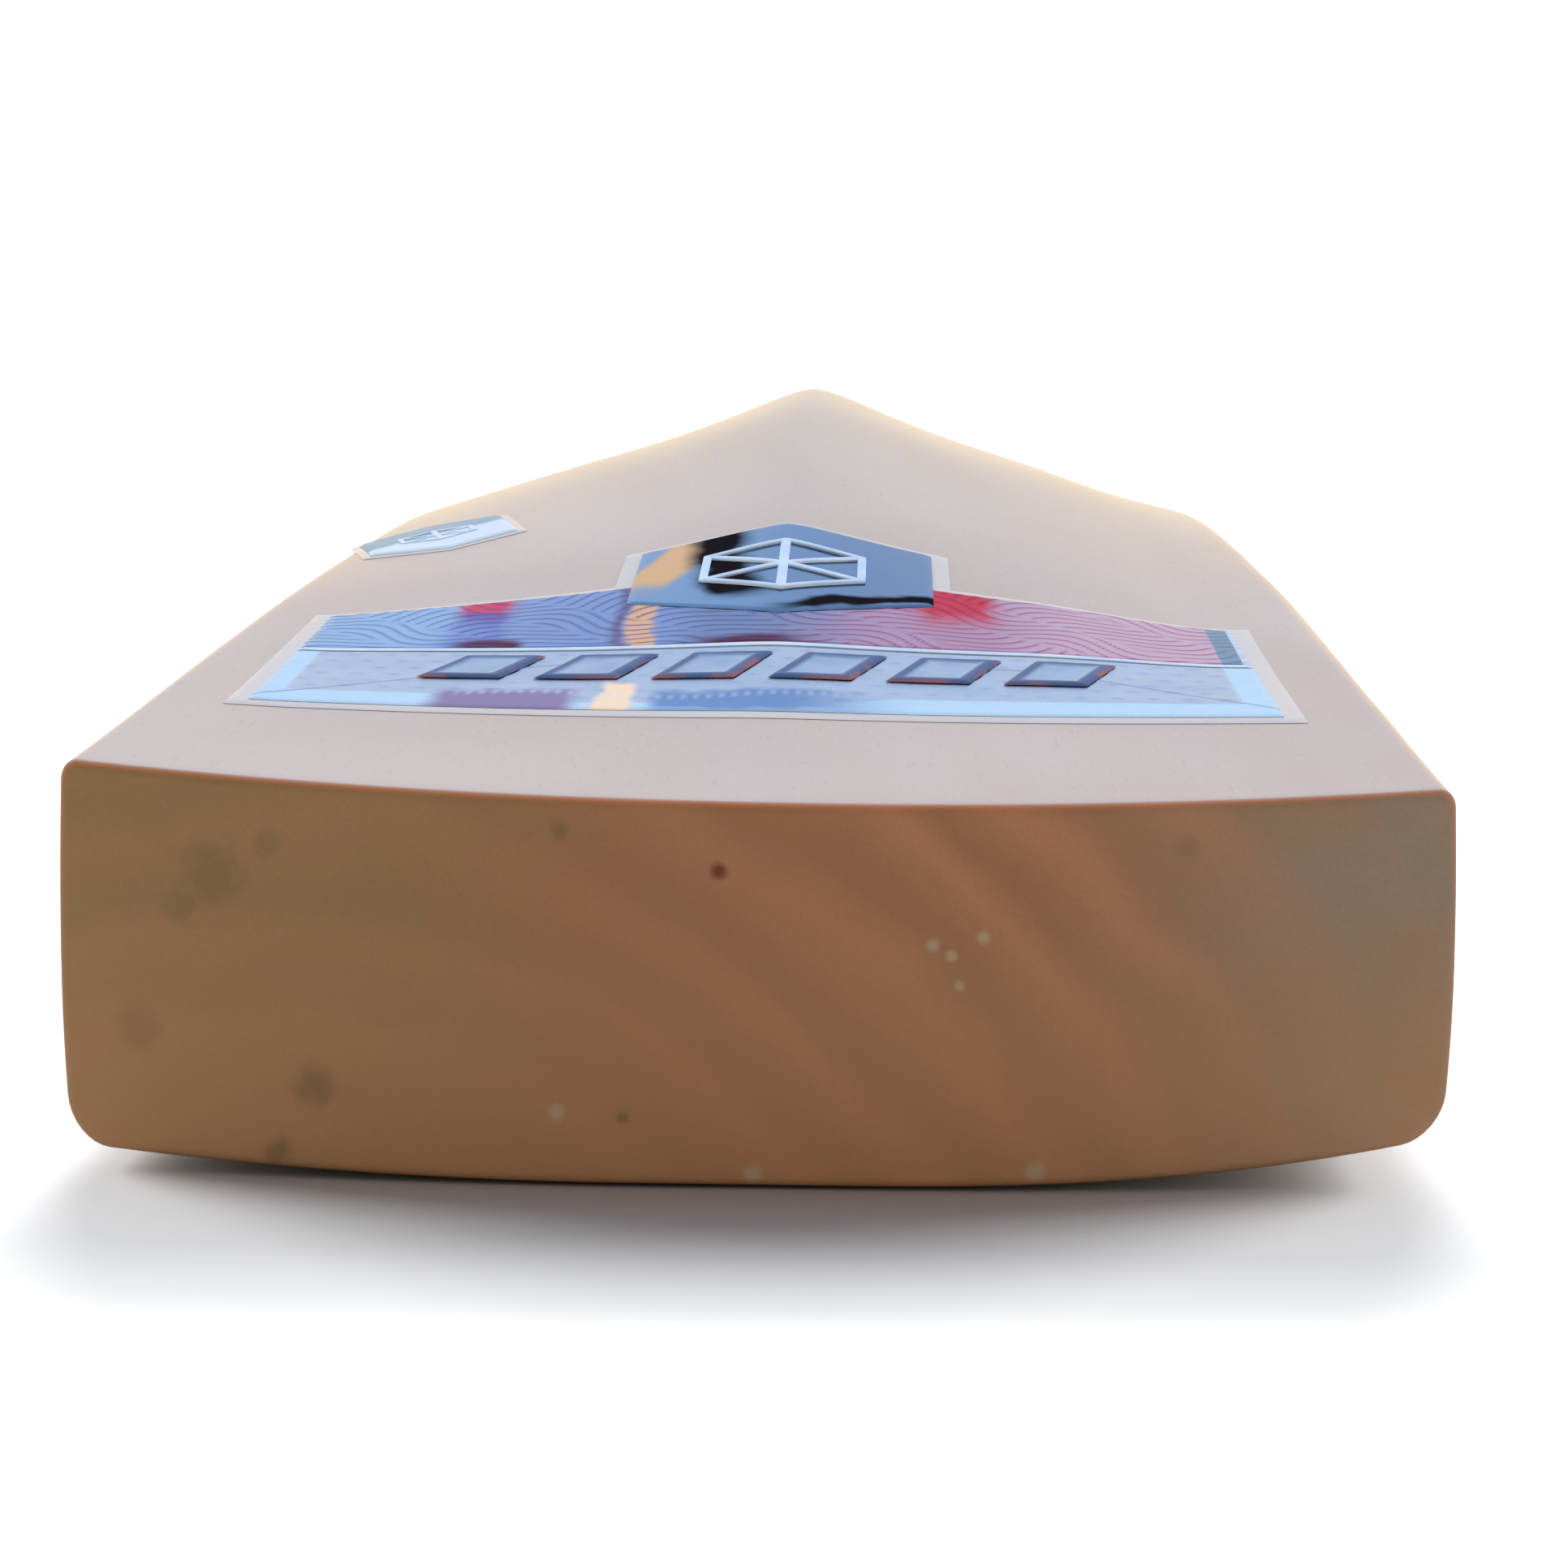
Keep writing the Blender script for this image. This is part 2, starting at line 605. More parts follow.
def add_spots(n, at, colour, marks, ragged, mark_colour):
    """Lays soft marks over a colour, each with an outline ragged by a share of its radius."""
    for x, z, radius, strength in marks:
        size = radius * MM
        mark = n.use(spot, position=at, centre=(x * MM, 0, z * MM), radius=size, wander=size * ragged)[0]
        colour = n.blend(n.times(mark, strength), colour, mark_colour)
    return colour


def make_willow():
    """Pale lacquered willow along the grain, and darker, browner end grain on the sawn toe."""
    n, shader, material = new_material("willow", Roughness=0.4, Coat_Weight=0.4, Coat_Roughness=0.25)
    shader.inputs["Specular IOR Level"].default_value = 0.35
    at = n.position()
    from_heart = n.mapping(at, location=(0.037, 0, 0.035))
    wood = n.use(fibres, position=at, fineness=1500.0)
    band = n.use(rings, position=from_heart, spacing=0.0082, wander=0.0085)[0]
    cloud = n.noise(at, 18.0, 2.0)
    long_grain = n.blend(n.step(cloud, 0.35, 0.7), srgb(192, 168, 156), srgb(186, 161, 150))
    x, y, z = n.axes(at)
    past = n.step(n.scaled(cloud, 0.05, y), (TOE + 95) * MM, (TOE + 290) * MM)
    long_grain = n.blend(past, long_grain, srgb(214, 188, 150))
    long_grain = n.blend(n.times(band, 0.2), long_grain, srgb(184, 154, 130))
    long_grain = n.blend(n.times(wood["Streak"], 0.3), long_grain, srgb(190, 166, 144))
    long_grain = n.blend(n.times(wood["Pore"], 0.22), long_grain, srgb(150, 118, 98))

    left = n.step(x, -0.03, -0.006)
    right = n.step(x, 0.018, 0.05)
    sawn = n.blend(left, srgb(158, 122, 80), srgb(170, 116, 80))
    sawn = n.blend(right, sawn, srgb(156, 136, 114))
    patch = n.noise(n.mapping(at, scale=(1, 1, 1.6)), 70.0, 3.0, 0.6)
    sawn = n.blend(n.step(patch, 0.35, 0.7, 0.0, 0.4), sawn, srgb(160, 122, 84))
    ring_strength = n.times(n.step(x, -0.02, 0.015, 0.15, 0.55), n.step(x, 0.046, 0.022, 0.15, 1))
    sawn = n.blend(n.times(band, ring_strength), sawn, srgb(205, 138, 102))
    speckle = n.noise(at, 2600.0, 1.0)
    sawn = n.blend(n.step(speckle, 0.4, 0.8, 0.0, 0.14), sawn, srgb(130, 96, 64))
    sawn = n.blend(n.step(z, 0.026, 0.0, 0.0, 0.55), sawn, srgb(206, 152, 108))
    sawn = add_spots(n, at, sawn, GREY_SMUDGES, 0.9, srgb(122, 100, 66))
    sawn = add_spots(n, at, sawn, PALE_SPECKS, 0.5, srgb(200, 182, 150))
    sawn = add_spots(n, at, sawn, KNOT, 0.63, srgb(128, 62, 36))

    end = n.attribute("end_grain")
    colour = n.blend(end, long_grain, sawn)
    rim = n.times(n.attribute("toe_rim"), n.step(z, 0.012, 0.03, 0.1, 0.7))
    colour = n.blend(rim, colour, srgb(206, 122, 78))
    n.feed(shader.inputs["Coat Weight"], n.scaled(end, -0.35, 0.4))
    roughness = n.scaled(end, 0.2, n.step(cloud, 0.3, 0.7, 0.36, 0.44))
    height = n.math("ADD", n.times(wood["Fibre"], 0.6), n.times(speckle, end))
    finish(n, shader, colour, roughness, height, 0.00004)
    return material


def make_foil(name, colours, roughness=0.16, crinkle=0.000006):
    """Metal foil: colours(n, at) gives its colour and a mask of what is printed over in dense ink, which is
    not metallic. It has faint crinkles and slightly uneven gloss."""
    n, shader, material = new_material(name)
    shader.inputs["Specular IOR Level"].default_value = 0.0
    shader.inputs["Specular Tint"].default_value = (0.8, 0.84, 0.9, 1)
    at = n.position()
    colour, ink = colours(n, at)
    n.feed(shader.inputs["Metallic"], n.math("SUBTRACT", 1.0, ink))
    haze = n.scaled(ink, 0.2, n.noise(at, 240.0, 3.0))
    gloss = n.step(haze, 0.3, 0.75, roughness * 0.85, roughness * 1.2)
    finish(n, shader, colour, gloss, n.noise(at, 160.0, 1.0), crinkle, 0.5)
    return material


def within(n, value, low, high, soft):
    """1 between low and high, fading out over soft to either side of both."""
    above = n.step(value, low - soft, low + soft)
    return n.times(above, n.step(value, high + soft, high - soft))


def printed_colours(n, at):
    """The upper panel: steel blue on the left, a red patch and an amber stripe, then rose red with a
    deeper patch by the badge, up to a blue-grey end. Dark streaks lie along its foot, and wave lines over
    all of it turn from dark blue to dark red."""
    x, y, _ = n.axes(n.mapping(at, location=(0, -(TOE + UPPER_START) * MM, 0)))
    wobble = n.wobble(at, 130.0)
    soft = n.scaled(wobble, 0.004, x)
    up = n.scaled(wobble, 0.006, y)
    colour = n.blend(n.step(soft, -0.036, -0.022), srgb(146, 190, 236), srgb(124, 150, 208))
    colour = n.blend(n.step(soft, -0.012, -0.006), colour, srgb(104, 124, 174))
    colour = n.blend(n.step(soft, -0.004, 0.012), colour, srgb(202, 144, 178))
    colour = n.blend(n.step(soft, 0.018, 0.03), colour, srgb(236, 174, 194))
    red = within(n, soft, -0.0313, -0.0258, 0.0012)
    red_colour = n.blend(n.step(up, 0.0145, 0.018), srgb(118, 84, 150), srgb(222, 56, 66))
    colour = n.blend(n.times(red, n.step(up, 0.008, 0.015, 0.4, 0.9)), colour, red_colour)
    brown = within(n, soft, -0.0156, -0.0142, 0.0007)
    colour = n.blend(n.times(brown, 0.7), colour, srgb(112, 82, 98))
    amber = within(n, soft, -0.0141, -0.0116, 0.0005)
    colour = n.blend(n.times(amber, 0.95), colour, srgb(226, 176, 138))
    deep = n.times(within(n, soft, 0.0135, 0.0212, 0.0016), n.step(up, 0.006, 0.016, 0.12, 1.0))
    colour = n.blend(n.times(deep, 0.9), colour, srgb(204, 40, 54))
    left_streak = within(n, soft, -0.0295, -0.0235, 0.001)
    streak = n.most(left_streak, within(n, soft, -0.007, 0.0025, 0.003))
    streak = n.times(streak, n.step(up, 0.0042, 0.0016))
    colour = n.blend(streak, colour, srgb(92, 44, 62))
    lines = n.times(n.attribute("line"), 0.85)
    line_colour = n.blend(n.step(soft, -0.004, 0.01), srgb(70, 76, 132), srgb(140, 44, 78))
    colour = n.blend(lines, colour, line_colour)
    colour = n.blend(n.step(x, 0.0412, 0.0415), colour, srgb(96, 128, 156))
    colour = n.blend(n.step(x, 0.0432, 0.0434), colour, srgb(214, 226, 238))
    return colour, n.times(n.most(red, deep, lines, amber, streak, brown), 0.85)


def make_film():
    """Clear carrier film over pale wood: whitish, faintly cloudy and glossy."""
    n, shader, material = new_material("clear_film", Coat_Weight=0.1, Coat_Roughness=0.12)
    at = n.position()
    cloud = n.noise(at, 110.0, 3.0)
    colour = n.blend(n.step(cloud, 0.3, 0.7), srgb(198, 184, 176), srgb(204, 192, 186))
    finish(n, shader, colour, n.step(cloud, 0.3, 0.7, 0.22, 0.36), n.noise(at, 500.0, 2.0), 0.00002, 0.5)
    return material


def make_cane_material():
    """Split cane: golden fibres with darker strands and pores, and dots of cut strands on the sawn end."""
    n, shader, material = new_material("cane", Coat_Weight=0.2, Coat_Roughness=0.3)
    at = n.position()
    wood = n.use(fibres, position=at, fineness=2200.0)
    colour = n.blend(n.step(wood["Streak"], 0.3, 0.7), srgb(206, 170, 112), srgb(222, 190, 136))
    colour = n.blend(n.step(wood["Fibre"], 0.45, 0.75, 0.0, 0.6), colour, srgb(170, 126, 72))
    colour = n.blend(n.times(wood["Pore"], 0.5), colour, srgb(112, 78, 44))
    dots = n.add("ShaderNodeTexVoronoi", feature="F1")
    dots.inputs["Scale"].default_value = 1900.0
    n.feed(dots.inputs["Vector"], at)
    cut = n.step(dots.outputs["Distance"], 0.16, 0.3, 1.0, 0.0)
    end_colour = n.blend(cut, srgb(198, 162, 106), srgb(104, 70, 40))
    colour = n.blend(n.attribute("cane_end"), colour, end_colour)
    finish(n, shader, colour, n.step(wood["Fibre"], 0.3, 0.7, 0.42, 0.6), wood["Fibre"], 0.00006)
    return material


def make_rubber(name, light, dark, grain, roughness):
    """Moulded rubber: two close shades in clouds, chalky specks and a fine matt grain."""
    n, shader, material = new_material(name)
    shader.inputs["Specular IOR Level"].default_value = 0.35
    at = n.position()
    cloud = n.noise(at, 60.0, 3.0)
    fine = n.noise(at, grain, 2.0)
    colour = n.blend(n.step(cloud, 0.3, 0.7), dark, light)
    colour = n.blend(n.step(fine, 0.66, 0.8, 0.0, 0.25), colour, srgb(120, 122, 126))
    uneven = n.step(cloud, 0.3, 0.7, roughness - 0.08, roughness + 0.08)
    finish(n, shader, colour, uneven, fine, 0.00005, 0.6)
    return material


def make_twine():
    """Waxed linen twine under glue: pale strands that twist along each turn, darker between the turns."""
    n, shader, material = new_material("twine", Coat_Weight=0.25, Coat_Roughness=0.35)
    at = n.position()
    strand = n.noise(n.mapping(at, scale=(1, 2.4, 1), rotation=(0, 0, 0.5)), 900.0, 3.0, 0.6)
    cloud = n.noise(at, 90.0, 2.0)
    colour = n.blend(n.step(strand, 0.3, 0.7), srgb(176, 164, 138), srgb(216, 208, 188))
    colour = n.blend(n.step(cloud, 0.35, 0.75, 0.0, 0.35), colour, srgb(186, 162, 116))
    finish(n, shader, colour, n.step(cloud, 0.3, 0.7, 0.5, 0.7), strand, 0.00006)
    return material


def bright_silver(n, at):
    """Silver with a faint blue cloud, half of it white lacquer."""
    return n.blend(n.clouds(at, 200.0), srgb(206, 222, 242), srgb(226, 238, 250)), 0.5


willow = make_willow()
film = make_film()
cane = make_cane_material()
spring_rubber = make_rubber("spring_rubber", srgb(52, 50, 49), srgb(38, 36, 36), 2200.0, 0.8)
grip_rubber = make_rubber("grip_rubber", srgb(46, 52, 62), srgb(34, 39, 48), 1500.0, 0.66)
twine = make_twine()
bright_foil = make_foil("bright_silver", bright_silver, 0.18)


# ---- The blade ----
BACK_COLUMNS, CORNER_COLUMNS, SIDE_COLUMNS, FACE_COLUMNS, WALL_ROWS = 64, 9, 12, 26, 6
TOE_RINGS, TOE_EDGE_ROWS, LABEL_ROWS, MIDDLE_ROWS, SPLICE_ROWS = 14, 8, 90, 110, 90
LABEL_ROWS_END = 130
NOTCH_TIP = 0.8


def splice_half(s):
    """Half the width of the V socket: nothing before its tip, then straight lines to the shoulders' top."""
    tip = SPLICE_TIP_WIDTH / 2 + SPLICE_GAP
    stations = [SPLICE_START - NOTCH_TIP, SPLICE_START, BLADE_LENGTH]
    return np.interp(s, stations, [0, tip, SPLICE_HALF + SPLICE_GAP])


def half_outline(s):
    """The right half of the outline at each station, from the middle of the back round to the middle of
    the face: a across, 0 to 1, and b from 1 on the back to -1 on the face, with quarter circles at the
    edges."""
    s = s[:, None]
    half, inner = plan_half(s), splice_half(s)
    half_thick = (back_height(half, s) - face_height(half, s)) / 2
    back_radius = back_corner_radius(s)
    spread = np.linspace(0, 1, BACK_COLUMNS) ** 1.35
    back = mix(inner, half - back_radius, spread[None, :-1]) / half
    turn = np.linspace(0, np.pi / 2, CORNER_COLUMNS)[None]

    def corner(radius, angle):
        across, up = radius / half, np.minimum(0.9, radius / half_thick)
        return 1 - across + across * np.sin(angle), 1 - up + up * np.cos(angle)

    back_a, back_b = corner(back_radius, turn)
    face_a, face_b = corner(FACE_CORNER_RADIUS, turn[:, ::-1])
    side_b = mix(back_b[:, -1:], -face_b[:, :1], np.linspace(0, 1, SIDE_COLUMNS)[None, 1:-1])
    face = mix(half - FACE_CORNER_RADIUS, inner, np.linspace(0, 1, FACE_COLUMNS)[None, 1:]) / half
    ones = np.ones_like
    a = np.concatenate([back, back_a, ones(side_b), face_a, face], axis=1)
    b = np.concatenate([ones(back), back_b, side_b, -face_b, -ones(face)], axis=1)
    return a, b


def blade_surface(a, b, s):
    """Points of the blade in metres: across by a, and from face to back by b. The sides lean in a little
    towards both, most at the outermost points."""
    tuck = np.where(b > 0, SIDE_TUCK_BACK, SIDE_TUCK_FACE)
    narrowing = np.where(a < 0, LEFT_NARROWING, 0) * (1 - smooth(s / NARROWING_FADE))
    x = (plan_half(s) - narrowing) * a * (1 - tuck * b**2 * a**4)
    z = mix(face_height(x, s), back_height(x, s), (b + 1) / 2)
    return place(x, along(x, s), z)


def end_grain(x, y):
    """1 on the sawn toe, fading out round its edge."""
    return 1 - smooth((station(x, y) - 0.25) / 0.6)


def toe_rim(x, y):
    """A thin line round the toe, where the sawn face meets the lacquered sides."""
    return bump(station(x, y) - 0.35, 0.3)


def blade_half(side):
    """Half a blade, right for side 1 and left for -1, as a run of outlines from the middle of the toe over
    its rounded edge to the shoulders, with the V socket's wall beyond its tip."""
    toe_a, toe_b = half_outline(np.zeros(1))
    toe_a = toe_a * side
    half_thick = (back_height(HALF_WIDTH, 0) - face_height(HALF_WIDTH, 0)) / 2
    shrink = np.linspace(0, 1, TOE_RINGS)[:-1, None] * (1 - TOE_EDGE_RADIUS / HALF_WIDTH)
    toe = blade_surface(toe_a * shrink, toe_b * shrink, np.zeros((1, 1)))
    angle = np.linspace(0, np.pi / 2, TOE_EDGE_ROWS)[:, None]
    inset = TOE_EDGE_RADIUS * (1 - np.sin(angle))
    depth = TOE_EDGE_RADIUS * (1 - np.cos(angle))
    rim = blade_surface(toe_a * (1 - inset / HALF_WIDTH), toe_b * (1 - inset / half_thick), depth)
    tip = SPLICE_START - NOTCH_TIP
    stations = np.concatenate(
        [
            np.linspace(TOE_EDGE_RADIUS, LABEL_ROWS_END, LABEL_ROWS)[1:],
            np.linspace(LABEL_ROWS_END, tip, MIDDLE_ROWS)[1:],
            [SPLICE_START],
            np.linspace(SPLICE_START, BLADE_LENGTH - 0.6, SPLICE_ROWS)[1:],
            [BLADE_LENGTH],
        ]
    )
    a, b = half_outline(stations)
    long_run = blade_surface(a * side, b, stations[:, None])
    outer = np.concatenate([toe, rim, long_run])
    socket = long_run[stations >= tip - 1e-6]
    share = np.linspace(0, 1, WALL_ROWS)[None, :, None]
    wall = mix(socket[:, -1:], socket[:, :1], share)
    end_ring = np.concatenate([long_run[-1], wall[-1][1:]])
    return [outer, wall, cap(end_ring, 5)]


def make_blade():
    marks = {"end_grain": end_grain, "toe_rim": toe_rim}
    sheets = blade_half(1) + blade_half(-1)
    make_piece("willow_blade", sheets, "blade", willow, BLADE_CREASE, marks)


make_blade()


# ---- Decals ----
def make_decal(name, sheets, node_name, material, attributes=None):
    """A piece with the crease angle that all the decals share."""
    make_piece(name, sheets, node_name, material, DECAL_CREASE, attributes)


def plate_sheets(x, y, lift, thickness, relief=0):
    """A thin plate that follows the blade's back over a grid of (x, y): its top raised by relief and lower
    round its outermost points, its under side, and the four walls between them."""
    ground = back_at(x, y)
    rim = np.ones(x.shape)
    rim[1:-1, 1:-1] = 0
    top = place(x, y, ground + lift + thickness * (1 - RIM_FALL * rim) + relief)
    under = place(x, y, ground + lift)
    walls = [np.stack([top[edge], under[edge]]) for edge in (0, -1)]
    walls += [np.stack([top[:, edge], under[:, edge]]) for edge in (0, -1)]
    return [top, under, *walls]


def between(across, low, high, rows):
    """A grid of (x, y) over places across the bat, from the line low(x) to the line high(x), with its first
    and last rows close to the next."""
    share = runs((0, 0, 1), (0.02, 0.98, rows - 2), (1, 1, 1))[:, None]
    x = np.broadcast_to(across, (rows, len(across)))
    return x, mix(low(across), high(across), share)


def rimmed(half, count):
    """Places from -half to half, the first and last close to the next."""
    return runs((-half, -half, 1), (0.45 - half, half - 0.45, count - 2), (half, half, 1))


def level(height):
    """A line straight across the bat."""
    return lambda x: height + 0 * x


def upper_edge(x):
    """The upper panel's top: straight from its ends up to the badge."""
    rise = (LABEL_HALF - np.abs(x)) / (LABEL_HALF - BADGE_HALF_WIDTH)
    return UPPER_START + UPPER_END_HEIGHT + UPPER_RISE * np.clip(rise, 0, 1)


def wave_lines(x, y):
    """Dune-like bundles of lines: the level lines of two slopes waved by sines, one falling and one rising,
    each shown in its own slanted patches."""
    def lines(phase):
        return bump((phase / WAVE_SPACING % 1 - 0.5) * WAVE_SPACING, WAVE_LINE_HALF)

    up = y - UPPER_START
    patch = 2.5 * np.sin(2 * np.pi * (x + 1.1 * up) / 21 + 0.6)
    rising = up - 0.55 * x + 2.6 * np.sin(2 * np.pi * (x + 0.5 * up) / 19)
    falling = up + 0.5 * x + 2.4 * np.sin(2 * np.pi * (x - 0.4 * up) / 17 + 1.9)
    return np.maximum(lines(rising) * smooth(0.2 + patch), lines(falling) * smooth(0.2 - patch))


def make_upper_panel():
    x, y = between(rimmed(LABEL_HALF, 240), level(UPPER_START + SEAM), upper_edge, 112)
    sheets = plate_sheets(x, y, FOIL_LIFT, FOIL_THICKNESS, PRINT_RELIEF * wave_lines(x, y))
    foil = make_foil("printed_foil", printed_colours)
    make_decal("upper_panel", sheets, "label_upper_panel", foil, {"line": wave_lines})


def film_top(x):
    """The film's top: a border above the upper panel, and above the badge where that stands higher."""
    over_badge = BADGE_BOTTOM + BADGE_HEIGHT - BADGE_CORNER_RISE * np.abs(x) / BADGE_FILM_HALF
    return FILM_BORDER + np.where(np.abs(x) < BADGE_FILM_HALF, over_badge, upper_edge(x))


def make_label_film():
    """The clear film under the label: its columns stand close together where its outline steps up."""
    wide, step = LABEL_HALF + FILM_BORDER, 0.02
    wing = BADGE_FILM_HALF + step
    middle = BADGE_FILM_HALF - step
    across = runs((-wide, -wing, 60), (-middle, middle, 60), (wing, wide, 60))
    x, y = between(across, level(LABEL_START - FILM_BORDER), film_top, 64)
    sheets = plate_sheets(x, y, FILM_LIFT, FILM_THICKNESS)
    make_decal("label_backing", sheets, "label_film", film)


def dashes(x, y):
    """Staggered rows of soft short dashes."""
    row = (y - LABEL_START) / DASH_ROW_PITCH
    shift = np.floor(row) % 2 * DASH_PITCH / 2
    across = ((x + shift) / DASH_PITCH % 1 - 0.5) * DASH_PITCH
    up = (row % 1 - 0.5) * DASH_ROW_PITCH
    return bump(across, 1.35) * bump(up, 1.0)


def bright_strip(x, y):
    """1 on the strips along the lower panel's two ends and its bottom, 0 inside it."""
    low = LABEL_START + 2 + 2.6 * smooth((-25 - x) / 5) + 2.8 * smooth((x - 4) / 8)
    left = LABEL_HALF - 2
    inside = smooth((x + left) / 0.5) * smooth((LABEL_HALF - 2.6 - x) / 0.5) * smooth((y - low) / 0.8)
    return 1 - inside


def crease(x, y):
    """Two thin bent lines across the lower panel: one rises from its left end, one falls to its right."""
    rising = LABEL_START + 2 + 17 * np.sin(np.pi / 2 * np.clip((x + LABEL_HALF) / 34, 0, 1))
    falling = LABEL_START + 3 + 15 * np.cos(np.pi / 2 * np.clip((x - 18) / 26, 0, 1))
    return np.maximum(bump(y - rising, 0.35) * (x < -12), bump(y - falling, 0.35) * (x > 18))


def hatch(x, y):
    """Short ticks in a row that waves along the panel's foot."""
    row = LABEL_START + 5.6 + 1.1 * np.sin(2 * np.pi * x / 23 + 0.8)
    tick = bump((x / TICK_PITCH % 1 - 0.5) * TICK_PITCH, 0.42)
    return tick * bump(y - row, 1.5) * smooth((x + 28) / 2) * smooth((9 - x) / 3)


def silver_colours(n, at):
    """The lower panel: pale silver with grey dashes, bright sky blue strips, and along its foot a purple
    stretch, an amber patch and a blue stretch with ticks over them."""
    x, y, _ = n.axes(n.mapping(at, location=(0, -(TOE + LABEL_START) * MM, 0)))
    wobble = n.wobble(at, 130.0)
    soft = n.scaled(wobble, 0.003, x)
    up = n.scaled(wobble, 0.005, y)
    colour = n.blend(n.clouds(at, 60.0, 1.0), srgb(200, 213, 233), srgb(208, 218, 235))
    strip = n.attribute("strip")
    dash = n.times(n.attribute("dash"), n.scaled(strip, -0.75, 0.75))
    colour = n.blend(dash, colour, srgb(140, 160, 190))
    colour = n.blend(strip, colour, srgb(198, 224, 241))
    foot = n.step(up, 0.0088, 0.0058)
    purple = n.times(within(n, soft, -0.0285, -0.0165, 0.0012), foot)
    colour = n.blend(purple, colour, srgb(146, 130, 164))
    blue = n.times(n.step(soft, -0.0112, -0.009), n.step(soft, 0.014, 0.0))
    blue = n.times(blue, n.times(foot, n.step(up, 0.0, 0.001, 0.6, 1.0)))
    colour = n.blend(blue, colour, srgb(110, 144, 192))
    amber = n.times(within(n, soft, -0.0146, -0.0117, 0.0005), n.step(up, 0.0115, 0.009))
    colour = n.blend(amber, colour, srgb(250, 216, 186))
    tick = n.times(n.attribute("tick"), 0.5)
    colour = n.blend(tick, colour, srgb(206, 212, 232))
    line = n.attribute("crease")
    colour = n.blend(n.times(line, 0.85), colour, srgb(84, 98, 126))
    ink = n.most(purple, amber, line, dash, n.times(n.most(blue, strip), 0.55))
    return colour, n.times(ink, 0.9)


def make_lower_panel():
    x, y = between(rimmed(LABEL_HALF, 400), level(LABEL_START), level(DIVIDER_STATION - SEAM), 76)
    relief = PRINT_RELIEF * (dashes(x, y) + crease(x, y))
    sheets = plate_sheets(x, y, FOIL_LIFT, FOIL_THICKNESS, relief)
    foil = make_foil("silver_foil", silver_colours, 0.26, 0.000002)
    marks = {"dash": dashes, "strip": bright_strip, "crease": crease, "tick": hatch}
    make_decal("lower_panel", sheets, "label_lower_panel", foil, marks)


def make_divider():
    """A strip with a slightly rounded back between the two panels."""
    x, y = between(rimmed(LABEL_HALF, 90), level(DIVIDER_STATION), level(UPPER_START), 9)
    round_back = 0.04 * (1 - (2 * (y - DIVIDER_STATION) / DIVIDER_WIDTH - 1) ** 4)
    sheets = plate_sheets(x, y, FOIL_LIFT, FOIL_THICKNESS, round_back)
    make_decal("divider_strip", sheets, "label_divider", bright_foil)


def badge_edge(side):
    """A badge's top (side 1) or bottom (-1): two straight lines that meet in a point."""
    def line(x):
        corner = BADGE_HEIGHT / 2 - BADGE_CORNER_RISE * np.abs(x) / BADGE_HALF_WIDTH
        return BADGE_CENTRE + side * corner

    return line


def badge_colours(n, at):
    """The badge: steel blue, a slanting gold stripe by its left corner, a black cloud beside it that bends
    in under the emblem, and a narrow dark streak along the lower right edge."""
    middle = n.mapping(at, location=(0, -(TOE + BADGE_CENTRE) * MM, 0))
    x, y, _ = n.axes(middle)
    wobble = n.wobble(at, 150.0)
    across = n.scaled(wobble, 0.003, x)
    up = n.scaled(wobble, 0.006, y)
    colour = n.blend(n.step(across, -0.012, 0.012), srgb(112, 154, 196), srgb(88, 124, 170))
    from_gold = n.math("ABSOLUTE", n.math("ADD", n.scaled(up, -0.286, across), 0.0127))
    gold = n.times(n.step(from_gold, 0.0036, 0.002), n.step(up, -0.010, -0.002))
    colour = n.blend(gold, colour, srgb(222, 178, 130))
    down = n.scaled(up, -55.0, 0.5, clamp=True)
    bend = n.scaled(n.math("POWER", down, 3.0), -0.0029, 0.0070)
    from_cloud = n.math("ABSOLUTE", n.math("ADD", across, bend))
    cloud = n.times(n.step(from_cloud, 0.0042, 0.0014), n.step(up, -0.013, -0.0085))
    edge = n.scaled(x, -0.44, n.math("ADD", up, 0.0172))
    streak = n.times(n.step(edge, -0.0005, 0.0008), n.step(edge, 0.0046, 0.0026))
    streak = n.times(streak, n.step(across, -0.003, 0.003))
    dark = n.most(cloud, streak)
    colour = n.blend(dark, colour, srgb(30, 26, 30))
    return colour, n.most(dark, n.times(gold, 0.8))


def make_badge():
    across = runs((-BADGE_HALF_WIDTH, 0, 30), (0, BADGE_HALF_WIDTH, 30))
    x, y = between(across, badge_edge(-1), badge_edge(1), 70)
    rim = np.minimum(BADGE_HALF_WIDTH - np.abs(x), BADGE_HEIGHT / 2 - np.abs(y - BADGE_CENTRE))
    sheets = plate_sheets(x, y, RAISED_LIFT, FOIL_THICKNESS, 0.03 * smooth(rim / 0.8))
    foil = make_foil("blue_foil", badge_colours, 0.14)
    make_decal("hexagon_badge", sheets, "label_badge", foil)


# An emblem line's closed section: shares of its width and height.
BAND_SECTION = np.array(
    [(0, 0), (0, 0.7), (0.14, 0.95), (0.3, 1), (0.7, 1), (0.86, 0.95), (1, 0.7), (1, 0), (0, 0)]
)


def emblem_band(u, v, height, centre, degrees, lift):
    """Points of an emblem's line, from places (u, v) round its centre turned by some degrees, standing on
    the blade's back at a lift."""
    turn = np.radians(degrees)
    x = centre[0] + u * np.cos(turn) - v * np.sin(turn)
    y = centre[1] + u * np.sin(turn) + v * np.cos(turn)
    return place(x, y, back_at(x, y) + lift + height)


